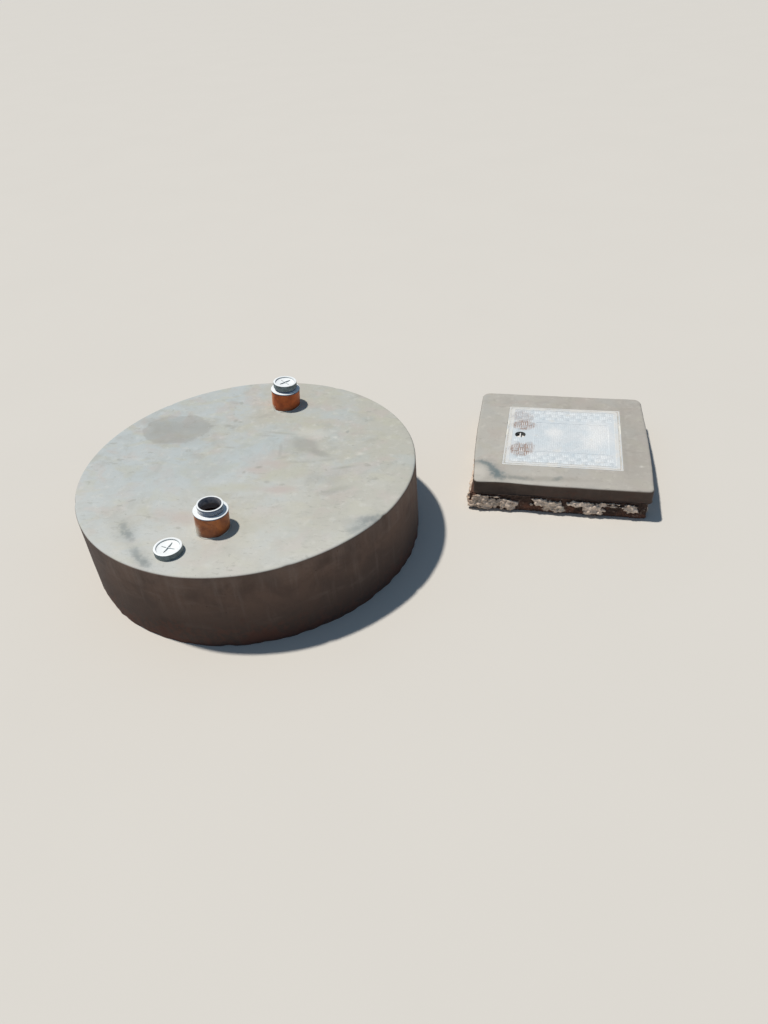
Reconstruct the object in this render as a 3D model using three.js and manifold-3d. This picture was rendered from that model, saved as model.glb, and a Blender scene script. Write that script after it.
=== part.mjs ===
// Small household digester: a round plastered tank with a concrete cover slab and two capped
// feed pipes, and beside it a square access chamber with a steel manhole cover.
// Units are millimetres, +Z is up, and z = 0 is the lowest ground around the walls.
// X runs along the front of the chamber and Y from the near feed pipe to the far one.

import * as THREE from 'three';
import { mergeVertices } from 'three/addons/utils/BufferGeometryUtils.js';
import Module from 'manifold-3d';

// Driving dimensions of the tank.
const tankRadius = 604;
const tankHeight = 300;
const tankWallThickness = 120;
const tankWallSegments = 8;
const slabThickness = 80;
const slabArris = 7;

// Driving dimensions of the feed pipes and their access fittings.
const pipeRadius = 55;
const pipeWall = 3.2;
const pipeAboveSlab = 70;
const pipeBelowSlab = 45;
const flangeRadius = 56.3;
const flangeThickness = 4.5;
const neckRadius = 42.2;
const neckBore = 36.5;
const neckHeight = 22.3;
const spigotDepth = 28;
const spigotWall = 3;
const nearRiser = { x: 13, y: -366 };
const farRiser = { x: 17, y: 417 };

// Both risers lean the same few degrees out of plumb, towards this bearing from +X.
const riserLean = { angle: 4.8, towards: 14 };

// Driving dimensions of the screw caps.
const capRadius = 45.2;
const capHeight = 21;
const capTop = 3.6;
const capRimWidth = 5;
const capRimHeight = 3.6;
const capRidgeLength = 50;
const capRidgeWidth = 5;
const threadClearance = 0.7;
const farCapTurn = 54;
const looseCap = { x: -82.5, y: -496.5, turn: 81 };

// Driving dimensions of the access chamber.
const chamberCentre = { x: 1097, y: 547 };
const chamberTop = 130;
const collar = { thickness: 60, corner: 36, bow: 150, arris: 9 };
const collarCorners = {
  frontLeft: [-309, -330], frontRight: [335, -330], backRight: [326, 337], backLeft: [-341, 343],
};
const collarBows = { right: [343.5, -80], left: [-335, -60] };
const chamberWall = { width: 636, depth: 640, thickness: 100 };
const footHeight = 62;
const footReach = 20;
const footWave = 6;

// Driving dimensions of the manhole frame and cover.
const coverShift = { x: 9.5, y: 6 };
const frame = { width: 448, depth: 432, height: 30, wall: 5, ledge: 20, ledgeThickness: 5 };
const frameProud = 1;
const coverGap = 5;
const coverPlateThickness = 4;
const coverSkirt = 3;
const coverCorner = 5;
const eye = { x: -168, y: 0, radius: 21, depth: 14, wall: 1.5 };
const barRadius = 3;

// Pieces that touch keep this much air between them.
const seat = 0.3;
const roundSegments = 64;
const slabSegments = 128;

// Boolean cuts and joins.
const wasm = await Module();
wasm.setup();

function toSolid(geometry) {
  const bare = geometry.clone();
  bare.deleteAttribute('normal');
  bare.deleteAttribute('uv');
  const merged = mergeVertices(bare, 1e-4);
  return new wasm.Manifold(new wasm.Mesh({
    numProp: 3,
    vertProperties: new Float32Array(merged.attributes.position.array),
    triVerts: new Uint32Array(merged.index.array),
  }));
}

function toGeometry(solid) {
  const mesh = solid.getMesh();
  const geometry = new THREE.BufferGeometry();
  geometry.setAttribute('position', new THREE.BufferAttribute(mesh.vertProperties, 3));
  geometry.setIndex(new THREE.BufferAttribute(mesh.triVerts, 1));
  geometry.computeVertexNormals();
  return geometry;
}

function cut(body, ...tools) {
  return toGeometry(tools.reduce((rest, tool) => rest.subtract(toSolid(tool)), toSolid(body)));
}

function join(body, ...pieces) {
  return toGeometry(pieces.reduce((sum, piece) => sum.add(toSolid(piece)), toSolid(body)));
}

// A shape turned about +Z from points of radius and height.
function turned(points, segments = roundSegments) {
  const profile = points.map(([radius, height]) => new THREE.Vector2(radius, height));
  return new THREE.LatheGeometry(profile, segments).rotateX(Math.PI / 2);
}

function cylinder(radius, bottom, top, x = 0, y = 0) {
  return turned([[0, bottom], [radius, bottom], [radius, top], [0, top]]).translate(x, y, 0);
}

function block(width, depth, bottom, top, x = 0, y = 0) {
  return new THREE.BoxGeometry(width, depth, top - bottom).translate(x, y, (bottom + top) / 2);
}

// A rectangle with round corners, centred on the origin.
function roundedRectangle(width, depth, corner) {
  const x = width / 2;
  const y = depth / 2;
  const shape = new THREE.Shape();
  shape.moveTo(-x + corner, -y);
  shape.lineTo(x - corner, -y);
  shape.absarc(x - corner, -y + corner, corner, -Math.PI / 2, 0);
  shape.lineTo(x, y - corner);
  shape.absarc(x - corner, y - corner, corner, 0, Math.PI / 2);
  shape.lineTo(-x + corner, y);
  shape.absarc(-x + corner, y - corner, corner, Math.PI / 2, Math.PI);
  shape.lineTo(-x, -y + corner);
  shape.absarc(-x + corner, -y + corner, corner, Math.PI, 1.5 * Math.PI);
  return shape;
}

// The outline through a row of turns, drawn in by inset. Each turn is a point and how far its
// rounding reaches along the sides.
function roundedOutline(turns, inset) {
  const drawnIn = (value) => value - Math.sign(value) * inset;
  const points = turns.map(({ at }) => new THREE.Vector2(drawnIn(at[0]), drawnIn(at[1])));
  const shape = new THREE.Shape();
  points.forEach((point, index) => {
    const { round } = turns[index];
    const last = points[(index + points.length - 1) % points.length];
    const next = points[(index + 1) % points.length];
    const before = last.clone().sub(point).setLength(round).add(point);
    const after = next.clone().sub(point).setLength(round).add(point);
    if (index === 0) shape.moveTo(before.x, before.y);
    else shape.lineTo(before.x, before.y);
    shape.quadraticCurveTo(point.x, point.y, after.x, after.y);
  });
  return shape;
}

function slabOf(shape, bottom, top) {
  const options = { depth: top - bottom, bevelEnabled: false, curveSegments: 6 };
  return new THREE.ExtrudeGeometry(shape, options).translate(0, 0, bottom);
}

const materials = {
  slab: { color: 0xb9b8ae, roughness: 0.9 },
  wall: { color: 0x8a8378, roughness: 0.95 },
  foot: { color: 0xb3aa9b, roughness: 0.97 },
  pipe: { color: 0xc8702c, roughness: 0.5 },
  fitting: { color: 0xc9cbca, roughness: 0.5 },
  steel: { color: 0xc3ccd4, roughness: 0.45, metalness: 0.8 },
};

const plant = new THREE.Group();
const tank = new THREE.Group();
const chamber = new THREE.Group();
plant.add(tank, chamber);

function addPiece(parent, name, geometry, finish) {
  const mesh = new THREE.Mesh(geometry, new THREE.MeshStandardMaterial(materials[finish]));
  mesh.name = name;
  parent.add(mesh);
  return mesh;
}

// Tank: a ring wall of curved segments under the cover slab.
const slabBottom = tankHeight - slabThickness;

// Each riser's own upright, which leans and starts on the slab's top.
function riserAt({ x, y }) {
  const angle = THREE.MathUtils.degToRad(riserLean.angle);
  const towards = THREE.MathUtils.degToRad(riserLean.towards);
  const riser = new THREE.Group();
  riser.position.set(x, y, tankHeight);
  riser.quaternion.setFromAxisAngle(new THREE.Vector3(-Math.sin(towards), Math.cos(towards), 0), angle);
  riser.updateMatrix();
  return riser;
}

const risers = { near: riserAt(nearRiser), far: riserAt(farRiser) };
tank.add(risers.near, risers.far);

function wallSegment(index) {
  const step = (2 * Math.PI) / tankWallSegments;
  const inner = tankRadius - tankWallThickness;
  const inset = seat / 2 / inner;
  const start = index * step + inset;
  const end = (index + 1) * step - inset;
  const shape = new THREE.Shape();
  shape.absarc(0, 0, tankRadius, start, end);
  shape.absarc(0, 0, inner, end, start, true);
  shape.closePath();
  const options = { depth: slabBottom - seat, bevelEnabled: false, curveSegments: 16 };
  return new THREE.ExtrudeGeometry(shape, options);
}

for (let index = 0; index < tankWallSegments; index += 1) {
  addPiece(tank, `tank_wall_${index + 1}`, wallSegment(index), 'wall');
}

function coverSlab() {
  const edge = tankRadius - slabArris;
  const arris = [0, 30, 60, 90].map((degrees) => {
    const angle = THREE.MathUtils.degToRad(degrees);
    return [edge + slabArris * Math.cos(angle), tankHeight - slabArris + slabArris * Math.sin(angle)];
  });
  const disc = turned([[0, slabBottom], [tankRadius, slabBottom], ...arris, [0, tankHeight]], slabSegments);
  const past = 12;
  const drill = cylinder(pipeRadius + seat, -slabThickness - past, past);
  return cut(disc, ...Object.values(risers).map((riser) => drill.clone().applyMatrix4(riser.matrix)));
}

addPiece(tank, 'cover_slab', coverSlab(), 'slab');

// Feed pipes: a plain pipe through the slab with a flanged and threaded access fitting on its end.
// Their heights are above the slab's top, along the riser.
const pipeTop = pipeAboveSlab;
const fittingBottom = pipeTop + seat;
const flangeTop = fittingBottom + flangeThickness;
const neckTop = flangeTop + neckHeight;

function feedPipe() {
  const bottom = -slabThickness - pipeBelowSlab;
  const bore = pipeRadius - pipeWall;
  return turned([
    [bore, bottom], [pipeRadius, bottom], [pipeRadius, pipeTop], [bore, pipeTop], [bore, bottom],
  ]);
}

function accessFitting() {
  const spigot = pipeRadius - pipeWall - seat;
  const spigotBore = spigot - spigotWall;
  const spigotBottom = pipeTop - spigotDepth;
  return turned([
    [spigotBore, spigotBottom], [spigot, spigotBottom], [spigot, fittingBottom],
    [flangeRadius, fittingBottom], [flangeRadius, flangeTop], [neckRadius, flangeTop],
    [neckRadius, neckTop], [neckBore, neckTop], [neckBore, fittingBottom],
    [spigotBore, fittingBottom], [spigotBore, spigotBottom],
  ]);
}

for (const [side, riser] of Object.entries(risers)) {
  addPiece(riser, `${side}_feed_pipe`, feedPipe(), 'pipe');
  addPiece(riser, `${side}_access_fitting`, accessFitting(), 'fitting');
}

// Screw cap: a cup with a raised rim and crossed finger ridges on its top, standing on z = 0.
const lid = capHeight - capRimHeight;
const inside = lid - capTop;

function screwCap() {
  const bore = neckRadius + threadClearance;
  const rimBore = capRadius - capRimWidth;
  const cup = turned([
    [0, inside], [bore, inside], [bore, 0], [capRadius, 0], [capRadius, capHeight],
    [rimBore, capHeight], [rimBore, lid], [0, lid],
  ]);
  const ridgeTop = lid + capRimHeight - 0.6;
  return join(
    cup,
    block(capRidgeLength, capRidgeWidth, lid - 1, ridgeTop),
    block(capRidgeWidth, capRidgeLength, lid - 1, ridgeTop),
  );
}

// Screwed down, a cap rests on the rim of the neck.
const farCap = addPiece(risers.far, 'far_screw_cap', screwCap(), 'fitting');
farCap.position.set(0, 0, neckTop + seat - inside);
farCap.rotation.z = THREE.MathUtils.degToRad(farCapTurn);

const offCap = addPiece(tank, 'loose_screw_cap', screwCap(), 'fitting');
offCap.position.set(looseCap.x, looseCap.y, tankHeight + seat);
offCap.rotation.z = THREE.MathUtils.degToRad(looseCap.turn);

// Chamber: four low walls, a rough mortar foot round them and a smooth collar on top.
chamber.position.set(chamberCentre.x, chamberCentre.y, 0);
const collarBottom = chamberTop - collar.thickness;
const wallTop = collarBottom - seat;
const frameTop = chamberTop + frameProud;
const frameBottom = frameTop - frame.height;
const frameX = coverShift.x;
const frameY = coverShift.y;

function addChamberWalls() {
  const { width, depth, thickness } = chamberWall;
  const between = depth - 2 * thickness - 2 * seat;
  const y = (depth - thickness) / 2;
  const x = (width - thickness) / 2;
  addPiece(chamber, 'chamber_wall_front', block(width, thickness, 0, wallTop, 0, -y), 'wall');
  addPiece(chamber, 'chamber_wall_back', block(width, thickness, 0, wallTop, 0, y), 'wall');
  addPiece(chamber, 'chamber_wall_left', block(thickness, between, 0, wallTop, -x, 0), 'wall');
  addPiece(chamber, 'chamber_wall_right', block(thickness, between, 0, wallTop, x, 0), 'wall');
}

// A strip of rough mortar along +X, its back on y = 0 and its wavy front towards -Y.
function mortarFoot(length, phase) {
  const waves = 7;
  const steps = waves * 6;
  const shape = new THREE.Shape();
  shape.moveTo(-length / 2, 0);
  for (let step = 0; step <= steps; step += 1) {
    const along = step / steps;
    const wave = Math.sin(2 * Math.PI * waves * along + phase) + 0.6 * Math.sin(17 * along + 2 * phase);
    shape.lineTo(length * (along - 0.5), -(footReach + footWave * wave / 1.6));
  }
  shape.lineTo(length / 2, 0);
  shape.closePath();
  return slabOf(shape, 0, footHeight);
}

function addMortarFeet() {
  const faceX = chamberWall.width / 2 + seat;
  const faceY = chamberWall.depth / 2 + seat;
  const long = chamberWall.width + 2 * (footReach - footWave);
  const short = chamberWall.depth;
  const turn = Math.PI / 2;
  const front = addPiece(chamber, 'mortar_foot_front', mortarFoot(long, 0.4), 'foot');
  front.position.set(0, -faceY, 0);
  const back = addPiece(chamber, 'mortar_foot_back', mortarFoot(long, 2.1), 'foot');
  back.position.set(0, faceY, 0);
  back.rotation.z = 2 * turn;
  const left = addPiece(chamber, 'mortar_foot_left', mortarFoot(short, 3.3), 'foot');
  left.position.set(-faceX, 0, 0);
  left.rotation.z = -turn;
  const right = addPiece(chamber, 'mortar_foot_right', mortarFoot(short, 5.2), 'foot');
  right.position.set(faceX, 0, 0);
  right.rotation.z = turn;
}

// The collar is cast a little out of square, with bowed sides and soft arrises, and takes the
// manhole frame in a rebate.
function chamberCollar() {
  const { corner, bow, arris } = collar;
  const { frontLeft, frontRight, backRight, backLeft } = collarCorners;
  const cornerAt = (at) => ({ at, round: corner - arris });
  const bowAt = (at) => ({ at, round: bow });
  const shape = roundedOutline([
    cornerAt(frontLeft), cornerAt(frontRight), bowAt(collarBows.right),
    cornerAt(backRight), cornerAt(backLeft), bowAt(collarBows.left),
  ], arris);
  const body = new THREE.ExtrudeGeometry(shape, {
    depth: collar.thickness, bevelThickness: arris, bevelSize: arris, bevelSegments: 3, curveSegments: 6,
  }).translate(0, 0, collarBottom - arris);
  const rebate = block(
    frame.width + 2 * seat, frame.depth + 2 * seat, frameBottom - seat, frameTop + 1, frameX, frameY,
  );
  const shaft = block(
    frame.width - 2 * frame.ledge, frame.depth - 2 * frame.ledge, collarBottom - 1, frameTop, frameX, frameY,
  );
  const broad = 2 * Math.max(...Object.values(collarCorners).flat()) + 50;
  const under = block(broad, broad, collarBottom - 2 * arris, collarBottom);
  return cut(body, under, rebate, shaft);
}

// Angle-section frame: an upright wall with a ledge turned in at its foot.
function manholeFrame() {
  const { width, depth, wall, ledge, ledgeThickness } = frame;
  return cut(
    block(width, depth, frameBottom, frameTop),
    block(width - 2 * wall, depth - 2 * wall, frameBottom + ledgeThickness, frameTop + 1),
    block(width - 2 * ledge, depth - 2 * ledge, frameBottom - 1, frameTop),
  );
}

// Cover: a pressed tray upside down on the ledge, with a round lifting eye sunk into it.
const coverBottom = frameBottom + frame.ledgeThickness + seat;
const coverTop = frameTop;

function manholeCover() {
  const width = frame.width - 2 * frame.wall - 2 * coverGap;
  const depth = frame.depth - 2 * frame.wall - 2 * coverGap;
  const outside = slabOf(roundedRectangle(width, depth, coverCorner), coverBottom, coverTop);
  const pocket = block(
    width - 2 * coverSkirt, depth - 2 * coverSkirt, coverBottom - 1, coverTop - coverPlateThickness,
  );
  const tray = cut(outside, pocket);
  const cup = cylinder(eye.radius + eye.wall, coverTop - eye.depth - eye.wall, coverTop - 1, eye.x, eye.y);
  const hole = cylinder(eye.radius, coverTop - eye.depth, coverTop + 1, eye.x, eye.y);
  return cut(join(tray, cup), hole);
}

// The hand bar lies across the lifting eye, along Y.
function liftingBar() {
  const half = Math.sqrt(eye.radius ** 2 - barRadius ** 2) - seat;
  const bar = new THREE.CylinderGeometry(barRadius, barRadius, 2 * half, 24);
  return bar.translate(eye.x, eye.y, coverTop - barRadius - 1.5);
}

addChamberWalls();
addMortarFeet();
addPiece(chamber, 'chamber_collar', chamberCollar(), 'slab');
addPiece(chamber, 'manhole_frame', manholeFrame(), 'steel').position.set(frameX, frameY, 0);
addPiece(chamber, 'manhole_cover', manholeCover(), 'steel').position.set(frameX, frameY, 0);
addPiece(chamber, 'lifting_bar', liftingBar(), 'steel').position.set(frameX, frameY, 0);

// The origin is on the ground at the centre of the whole footprint.
const footprint = new THREE.Box3().setFromObject(plant, true);
const middle = footprint.getCenter(new THREE.Vector3());
plant.position.set(-middle.x, -middle.y, -footprint.min.z);

export default plant;
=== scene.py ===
import random
from math import atan2, cos, degrees, exp, hypot, pi, radians, sin

import bmesh
import bpy
from mathutils import Matrix, Vector, noise


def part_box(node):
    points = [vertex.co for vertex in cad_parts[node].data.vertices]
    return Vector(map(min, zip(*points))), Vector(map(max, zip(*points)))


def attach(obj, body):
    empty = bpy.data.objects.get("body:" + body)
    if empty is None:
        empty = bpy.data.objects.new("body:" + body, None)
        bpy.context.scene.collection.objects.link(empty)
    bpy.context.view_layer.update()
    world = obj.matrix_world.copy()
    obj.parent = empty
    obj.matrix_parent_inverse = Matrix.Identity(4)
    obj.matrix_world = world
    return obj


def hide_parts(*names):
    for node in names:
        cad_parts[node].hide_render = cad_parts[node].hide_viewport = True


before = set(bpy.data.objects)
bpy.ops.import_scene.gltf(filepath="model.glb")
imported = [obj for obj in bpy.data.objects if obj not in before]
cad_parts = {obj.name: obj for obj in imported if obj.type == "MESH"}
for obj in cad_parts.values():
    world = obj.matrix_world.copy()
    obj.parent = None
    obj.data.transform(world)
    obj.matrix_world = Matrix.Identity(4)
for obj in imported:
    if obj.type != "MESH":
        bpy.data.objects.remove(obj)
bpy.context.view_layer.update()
scene = bpy.context.scene
print("frame loaded")


# Places that come from the frame.
def cornersOf(nodeName):
    return [Vector(corner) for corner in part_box(nodeName)]


def middleOf(nodeName):
    low, high = cornersOf(nodeName)
    return (low + high) / 2


slabLow, slabHigh = cornersOf("cover_slab")
slabBottom, slabTop = (corner[2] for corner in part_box("cover_slab"))
tankCentre = Vector((*middleOf("cover_slab").xy, 0.0))
tankRadius = (slabHigh - slabLow).x / 2
chamberCentre = Vector((middleOf("chamber_wall_front").x, middleOf("chamber_wall_left").y, 0.0))
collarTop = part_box("chamber_collar")[1][2]
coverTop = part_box("manhole_cover")[1][2]
eyeCentre = middleOf("lifting_bar")

# Both risers lean the same way out of plumb, in degrees.
lean = dict(angle=4.8, towards=14.0)
leanAcross = Matrix.Rotation(radians(lean["towards"] + 90), 3, "Z") @ Vector((1, 0, 0))
leanTurn = Matrix.Rotation(radians(lean["angle"]), 4, leanAcross)
leanAxis = leanTurn @ Vector((0, 0, 1))


# Where a riser's axis meets the top of the slab.
def riserFoot(nodeName):
    middle = middleOf(nodeName)
    return middle + leanAxis * ((slabTop - middle.z) / leanAxis.z)


nearRiser = riserFoot("near_feed_pipe")
farRiser = riserFoot("far_feed_pipe")


# Colours are given as screen values from 0 to 255.
def paint(*values):
    def linear(value):
        value /= 255
        return value / 12.92 if value <= 0.04045 else ((value + 0.055) / 1.055) ** 2.4
    return (*map(linear, values), 1.0)


def paints(**tints):
    return {name: paint(*tint) for name, tint in tints.items()}


# Small helpers for shader nodes. A value is a number, a colour or another node's output.
def feed(socket, value):
    if isinstance(value, bpy.types.NodeSocket):
        socket.id_data.links.new(value, socket)
    else:
        socket.default_value = value


def node(tree, kind, sockets, **settings):
    made = tree.nodes.new("ShaderNode" + kind)
    for name, value in settings.items():
        setattr(made, name, value)
    for key, value in sockets.items():
        feed(made.inputs[key], value)
    return made


def mapped(where, kind="POINT", **sockets):
    return node(where.id_data, "Mapping", {"Vector": where, **sockets}, vector_type=kind).outputs["Vector"]


def cloud(where, scale, detail=4.0, rough=0.55, warp=0.0, shift=0.0, stretch=None):
    if stretch:
        where = mapped(where, Scale=stretch)
    if shift:
        where = mapped(where, Location=(shift, -shift, shift))
    sockets = {"Vector": where, "Scale": scale, "Detail": detail, "Roughness": rough, "Distortion": warp}
    return node(where.id_data, "TexNoise", sockets).outputs["Fac"]


def ramp(value, low, high, bottom=0.0, top=1.0):
    sockets = {"Value": value, "From Min": low, "From Max": high, "To Min": bottom, "To Max": top}
    return node(value.id_data, "MapRange", sockets, interpolation_type="SMOOTHSTEP").outputs["Result"]


def maths(operation, *values):
    tree = next(value.id_data for value in values if isinstance(value, bpy.types.NodeSocket))
    return node(tree, "Math", dict(enumerate(values)), operation=operation).outputs[0]


def times(first, second):
    return maths("MULTIPLY", first, second)


# A value that a field makes uneven by up to width either way.
def swayed(value, field, width, low=0.3, high=0.7):
    return maths("ADD", value, ramp(field, low, high, -width, width))


def mixed(factor, first, second):
    sockets = {0: factor, 6: first, 7: second}
    return node(factor.id_data, "Mix", sockets, data_type="RGBA").outputs[2]


# Lays tints over a colour, one after the other. A layer is a mask and a tint, or a field, where it begins
# and where it is full, its strength and the tint. A name stands for one of the look's own colours.
def layered(look, colour, *layers):
    def tintOf(value):
        return look[value] if isinstance(value, str) else value

    colour = tintOf(colour)
    for field, *span, tint in layers:
        if span:
            begin, full, strength = span
            field = ramp(field, begin, full, 0.0, strength)
        colour = mixed(field, colour, tintOf(tint))
    return colour


def axisOf(vector, axis):
    return node(vector.id_data, "SeparateXYZ", {0: vector}).outputs[axis]


def normalBy(where):
    return node(where.id_data, "NewGeometry", {}).outputs["Normal"]


def upFacing(where, low, high):
    return ramp(axisOf(normalBy(where), "Z"), low, high)


def attributeBy(where, name):
    return node(where.id_data, "Attribute", {}, attribute_name=name).outputs["Fac"]


# 1 inside an upright elliptical column and 0 outside, with an edge that a field makes uneven.
def spot(where, x, y, half, depth, soft, wobble=0.0, field=None, turn=0.0):
    flat = 1000.0
    local = mapped(where, "TEXTURE", Location=(x, y, 0.0), Rotation=(0.0, 0.0, radians(turn)),
                   Scale=(half, depth, flat))
    distance = node(where.id_data, "VectorMath", {0: local}, operation="LENGTH").outputs["Value"]
    if field:
        distance = swayed(distance, field, wobble, 0.0, 1.0)
    return ramp(distance, 1 + soft, 1 - soft)


# Makes a material. From Object coordinates, build gives its colour, its roughness and its bumps, each a
# height, a distance and a strength.
def materialFrom(name, build, *values, metal=0.0):
    material = bpy.data.materials.new(name)
    material.use_nodes = True
    tree = material.node_tree
    shader = tree.nodes["Principled BSDF"]
    colour, rough, bumps = build(node(tree, "TexCoord", {}).outputs["Object"], *values)
    feed(shader.inputs["Base Color"], colour)
    feed(shader.inputs["Roughness"], rough)
    feed(shader.inputs["Metallic"], metal)
    below = {}
    for height, distance, strength in bumps:
        sockets = {"Height": height, "Distance": distance, "Strength": strength, **below}
        below = {"Normal": node(tree, "Bump", sockets).outputs["Normal"]}
    for normal in below.values():
        feed(shader.inputs["Normal"], normal)
    return material


# Wall plaster: smooth and stained by red soil towards the ground. Its dark brown-grey colours are painted
# shade, darkened and warmed like a wall in shade lit by red light bounced from soil.
wallLook = dict(
    paints(light=(110, 87, 74), dark=(80, 62, 53), pale=(126, 108, 97), damp=(52, 40, 35), soil=(104, 62, 46),
           soilDark=(62, 40, 33), shade=(78, 70, 69)),
    shadeFrom=-0.6, shadeTo=-0.9, soilTop=0.04, splashTop=0.13, dampTop=0.22, paleTop=0.31,
)


def plasterCoat(where, look):
    height = axisOf(where, "Z")
    patchy = cloud(where, 6.0, 6.0, 0.6, 0.5)
    bands = cloud(where, 7.0, 4.0, stretch=(1.0, 1.0, 4.0))
    streaks = cloud(where, 30.0, 5.0, 0.6, stretch=(1.0, 1.0, 0.12))
    fine = cloud(where, 55.0, 5.0, 0.6)
    pits = cloud(where, 90.0, 2.0, shift=3.0)
    grain = cloud(where, 420.0, 3.0, 0.7)
    line = swayed(height, patchy, 0.06, 0.2, 0.8)
    splashed = times(ramp(line, look["splashTop"], 0.02, 0.0, 0.45), ramp(fine, 0.44, 0.62))
    colour = layered(
        look, "light", (patchy, 0.38, 0.66, 1.0, "dark"), (bands, 0.55, 0.75, 0.4, "pale"),
        (streaks, 0.52, 0.72, 0.38, "pale"),
        # Lighter towards the top and darker towards the bottom.
        (swayed(height, streaks, 0.03), look["dampTop"], look["paleTop"], 0.35, "pale"),
        (fine, 0.5, 0.75, 0.3, "dark"),
        # Greyer and cooler on the left: painted shade lit by sky instead of red soil.
        (axisOf(where, "X"), look["shadeFrom"], look["shadeTo"], 0.7, "shade"),
        (line, look["dampTop"], 0.02, 0.76, "damp"), (splashed, "soil"),
        (line, look["soilTop"], 0.0, 0.75, mixed(fine, look["soil"], look["soilDark"])),
        (pits, 0.7, 0.76, 0.6, "soilDark"), (grain, 0.3, 0.75, 0.2, "dark"))
    rough = ramp(patchy, 0.3, 0.7, 0.92, 0.8)
    return colour, rough, [(bands, 0.0025, 0.3), (fine, 0.0015, 0.35), (grain, 0.0006, 0.5)]


# Cement that was trowelled smooth, on top of the tank and round the manhole. Marks are in metres from the
# middle of the piece: place, half sizes, turn in degrees, strength, and softness and unevenness if unusual.
slabLook = dict(
    paints(warm=(181, 181, 172), cool=(182, 190, 192), pink=(187, 178, 173), yellow=(184, 184, 168),
           blue=(176, 188, 192), dark=(154, 155, 148), pale=(210, 210, 205), damp=(148, 149, 145),
           smudge=(122, 131, 133), fleck=(222, 221, 214)),
    side=wallLook, coolFrom=-0.5, warmFrom=0.3, frontPale=0.45,
    marks=[
        ("damp", [
            (-0.362, 0.197, 0.13, 0.104, 3, 0.42, 0.06, 0.2),
            (-0.325, 0.165, 0.12, 0.085, 8, 0.25, 0.5, 0.25), (-0.41, 0.185, 0.05, 0.04, 20, 0.3, 0.8),
            (-0.29, 0.235, 0.05, 0.04, 0, 0.22, 0.8), (-0.48, 0.24, 0.058, 0.03, -10, 0.28, 0.7, 0.4)]),
        ("blue", [(-0.03, 0.06, 0.15, 0.06, 40, 0.45), (-0.25, -0.12, 0.18, 0.09, 20, 0.35)]),
        ("yellow", [
            (-0.02, -0.152, 0.08, 0.022, 10, 0.5), (0.188, -0.03, 0.032, 0.042, 0, 0.5),
            (0.122, -0.063, 0.044, 0.03, 0, 0.45), (0.098, 0.326, 0.06, 0.024, 5, 0.4),
            (0.15, -0.33, 0.12, 0.045, 12, 0.35)]),
        ("pink", [
            (0.037, -0.036, 0.046, 0.02, 5, 0.8), (0.1, 0.007, 0.046, 0.022, 0, 0.7),
            (0.157, -0.142, 0.05, 0.018, 8, 0.8), (-0.12, -0.33, 0.07, 0.03, -10, 0.6)]),
        ("pale", [(0.179, 0.219, 0.055, 0.03, -10, 0.45)]),
        ("damp", [
            (0.158, 0.128, 0.074, 0.06, -25, 0.2, 0.2, 0.3),
            (0.172, 0.138, 0.06, 0.034, -36, 0.42, 0.3, 0.35),
            (0.25, 0.088, 0.046, 0.015, -22, 0.48, 0.5, 0.4), (0.092, 0.1, 0.006, 0.04, 12, 0.34, 0.8, 0.7),
            (0.12, 0.054, 0.012, 0.007, 20, 0.3, 0.8, 0.7), (0.194, 0.03, 0.058, 0.006, 7, 0.3, 0.9, 0.7),
            (0.29, 0.055, 0.03, 0.008, 25, 0.3, 0.9, 0.6), (0.018, 0.187, 0.03, 0.005, 0, 0.32, 0.9, 0.7),
            (0.062, 0.209, 0.05, 0.006, -4, 0.4, 0.9, 0.7), (0.272, -0.064, 0.03, 0.026, 0, 0.35, 0.8, 0.4),
            (0.33, -0.05, 0.024, 0.04, 0, 0.3, 0.9, 0.4)]),
        ("dark", [
            (0.049, -0.019, 0.011, 0.007, 20, 0.7, 0.8), (0.006, -0.055, 0.006, 0.008, 0, 0.6, 0.8),
            (-0.148, 0.279, 0.008, 0.011, 0, 0.65, 0.8), (-0.125, 0.272, 0.01, 0.006, 0, 0.6, 0.8),
            (-0.166, 0.24, 0.013, 0.009, 0, 0.6, 0.8), (0.106, -0.102, 0.009, 0.007, 0, 0.5, 0.8),
            (-0.103, 0.094, 0.02, 0.006, 0, 0.45, 0.8), (0.353, 0.012, 0.034, 0.008, 20, 0.6, 0.8),
            (0.35, -0.128, 0.045, 0.014, 30, 0.45, 0.9, 0.6)]),
        ("smudge", [
            (0.311, 0.244, 0.005, 0.007, 0, 0.45), (-0.272, -0.415, 0.06, 0.03, -45, 0.24),
            (-0.285, -0.4, 0.026, 0.011, -60, 0.5, 0.9, 0.9),
            (-0.252, -0.437, 0.026, 0.012, -40, 0.66, 0.9, 0.9), (-0.165, -0.534, 0.066, 0.024, -41, 0.24),
            (-0.185, -0.517, 0.03, 0.011, -50, 0.55, 0.9, 0.9),
            (-0.142, -0.552, 0.028, 0.012, -38, 0.7, 0.9, 0.9), (0.492, -0.285, 0.062, 0.04, 25, 0.24),
            (0.498, -0.264, 0.03, 0.014, 25, 0.6, 0.9, 0.9),
            (0.52, -0.262, 0.012, 0.036, -30, 0.42, 0.9, 0.9),
            (0.475, -0.317, 0.032, 0.014, 40, 0.5, 0.9, 0.9)]),
        ("fleck", [
            (0.273, 0.2, 0.009, 0.007, 0, 0.35, 0.9, 0.9), (0.39, 0.104, 0.012, 0.009, 0, 0.4, 0.9, 0.9),
            (0.354, 0.072, 0.009, 0.007, 0, 0.35, 0.9, 0.9)]),
    ],
)
# The collar's sides get darker wall browns than its top: painted shade.
collarShadedSide = dict(wallLook, **paints(light=(106, 86, 74), dark=(76, 62, 53), pale=(130, 112, 98)))
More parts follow.
